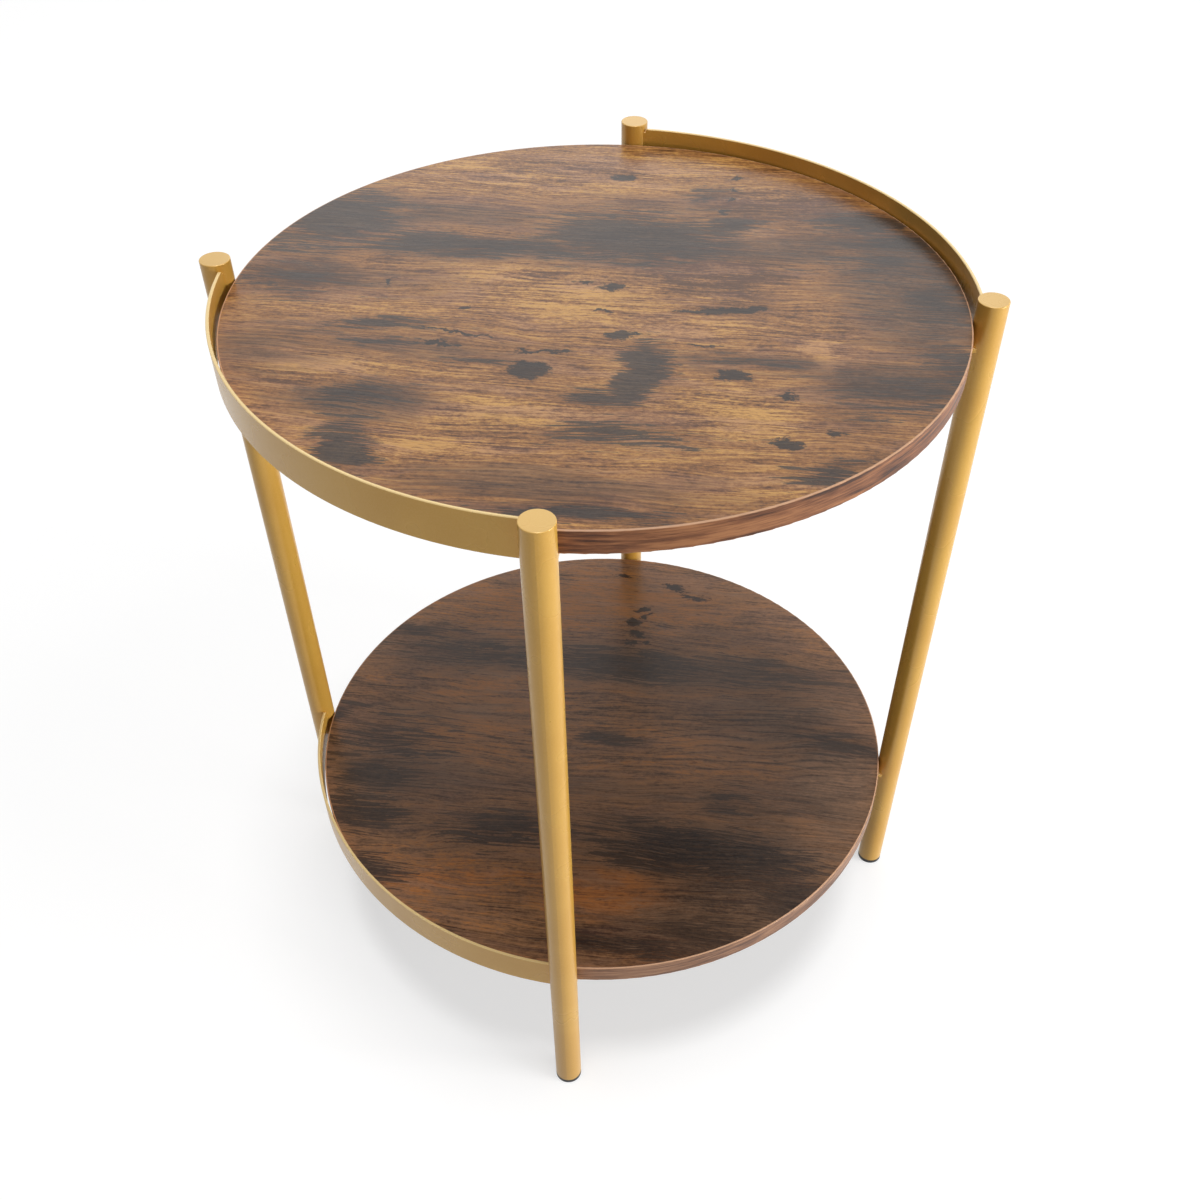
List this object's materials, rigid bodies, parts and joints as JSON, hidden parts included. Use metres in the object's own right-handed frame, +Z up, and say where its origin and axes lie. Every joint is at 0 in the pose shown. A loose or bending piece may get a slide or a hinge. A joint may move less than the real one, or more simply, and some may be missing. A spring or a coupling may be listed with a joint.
{
  "type": "tiered side table",
  "caption": "Round tiered side table with wood-grain boards, upright tube legs and rolled flat-bar guard rails.",
  "frame": {"origin": "on the floor, at the centre of the table, under the middle of both boards", "axes": "+Z up; the legs stand on -X, +X, -Y and +Y; the wood grain runs along X; the rails are in the -X -Y and +X +Y quarters"},
  "size_m": [0.489, 0.489, 0.53],
  "materials": {
    "board_face": "satin wood-grain laminate, rustic brown",
    "board_underside": "matt wood-grain balancing laminate",
    "particleboard": "raw pressed wood particles",
    "edge_band": "wood-grain edge strip, satin",
    "gold_metal": "satin gold powder coat",
    "black_plastic": "matt moulded",
    "plated_steel": "zinc plated"
  },
  "bodies": {
    "root": {"leg_right": "gold_metal", "leg_cap_right": "gold_metal", "foot_right": "black_plastic", "leg_back": "gold_metal", "leg_cap_back": "gold_metal", "foot_back": "black_plastic", "leg_left": "gold_metal", "leg_cap_left": "gold_metal", "foot_left": "black_plastic", "leg_front": "gold_metal", "leg_cap_front": "gold_metal", "foot_front": "black_plastic", "upper_board_core": "particleboard", "upper_board_top_laminate": "board_face", "upper_board_bottom_laminate": "board_underside", "upper_board_edge_band": "edge_band", "upper_tab_right": "gold_metal", "upper_tab_back": "gold_metal", "upper_tab_left": "gold_metal", "upper_tab_front": "gold_metal", "upper_screws": "plated_steel", "upper_threaded_inserts": "plated_steel", "lower_board_core": "particleboard", "lower_board_top_laminate": "board_face", "lower_board_bottom_laminate": "board_underside", "lower_board_edge_band": "edge_band", "lower_tab_right": "gold_metal", "lower_tab_back": "gold_metal", "lower_tab_left": "gold_metal", "lower_tab_front": "gold_metal", "lower_screws": "plated_steel", "lower_threaded_inserts": "plated_steel", "upper_rail_left": "gold_metal", "upper_rail_right": "gold_metal", "lower_rail_left": "gold_metal"}
  },
  "joints": []
}
